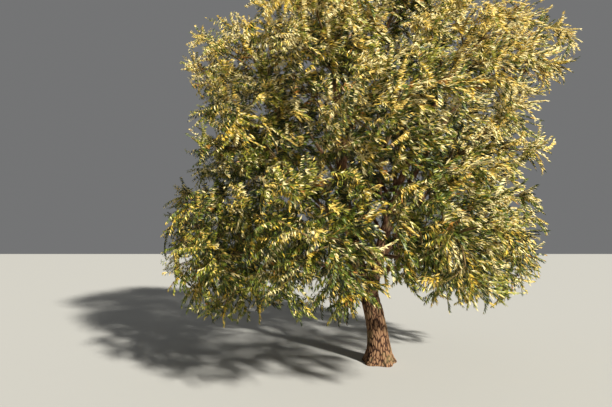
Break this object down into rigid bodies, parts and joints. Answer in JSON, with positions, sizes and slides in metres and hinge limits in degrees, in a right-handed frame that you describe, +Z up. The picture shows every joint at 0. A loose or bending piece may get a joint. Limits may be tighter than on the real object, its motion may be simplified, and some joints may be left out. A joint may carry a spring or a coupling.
{
  "type": "willow tree",
  "caption": "Broad-crowned riverside willow with a short leaning trunk, spreading boughs and masses of narrow leaves down to its low skirt.",
  "frame": {"origin": "middle of the flat cut under the trunk, at ground level", "axes": "+Z up; -Y towards the viewer of the picture; +X to the viewer's right"},
  "size_m": [10.0694, 9.1081, 10.8701],
  "materials": {
    "bark": "rough, fissured",
    "foliage": "matt"
  },
  "bodies": {
    "root": {"trunk": "bark", "bough_core": "bark", "bough_heart": "bark", "bough_shoulder_1": "bark", "bough_shoulder_2": "bark", "bough_shoulder_3": "bark", "bough_shoulder_4": "bark", "bough_shoulder_5": "bark", "bough_shoulder_6": "bark", "bough_skirt_1": "bark", "bough_skirt_2": "bark", "bough_skirt_3": "bark", "bough_skirt_4": "bark", "bough_skirt_5": "bark", "bough_skirt_6": "bark", "bough_skirt_7": "bark", "bough_skirt_8": "bark", "bough_skirt_9": "bark", "bough_tip": "bark", "bough_top_1": "bark", "bough_top_2": "bark", "bough_top_3": "bark", "bough_top_4": "bark", "bough_tuft": "bark", "bough_waist_1": "bark", "bough_waist_2": "bark", "bough_waist_3": "bark", "bough_waist_4": "bark", "bough_waist_5": "bark", "bough_waist_6": "bark", "leaves_core": "foliage", "leaves_heart": "foliage", "leaves_shoulder_1": "foliage", "leaves_shoulder_2": "foliage", "leaves_shoulder_3": "foliage", "leaves_shoulder_4": "foliage", "leaves_shoulder_5": "foliage", "leaves_shoulder_6": "foliage", "leaves_skirt_1": "foliage", "leaves_skirt_2": "foliage", "leaves_skirt_3": "foliage", "leaves_skirt_4": "foliage", "leaves_skirt_5": "foliage", "leaves_skirt_6": "foliage", "leaves_skirt_7": "foliage", "leaves_skirt_8": "foliage", "leaves_skirt_9": "foliage", "leaves_tip": "foliage", "leaves_top_1": "foliage", "leaves_top_2": "foliage", "leaves_top_3": "foliage", "leaves_top_4": "foliage", "leaves_tuft": "foliage", "leaves_waist_1": "foliage", "leaves_waist_2": "foliage", "leaves_waist_3": "foliage", "leaves_waist_4": "foliage", "leaves_waist_5": "foliage", "leaves_waist_6": "foliage"}
  },
  "joints": []
}
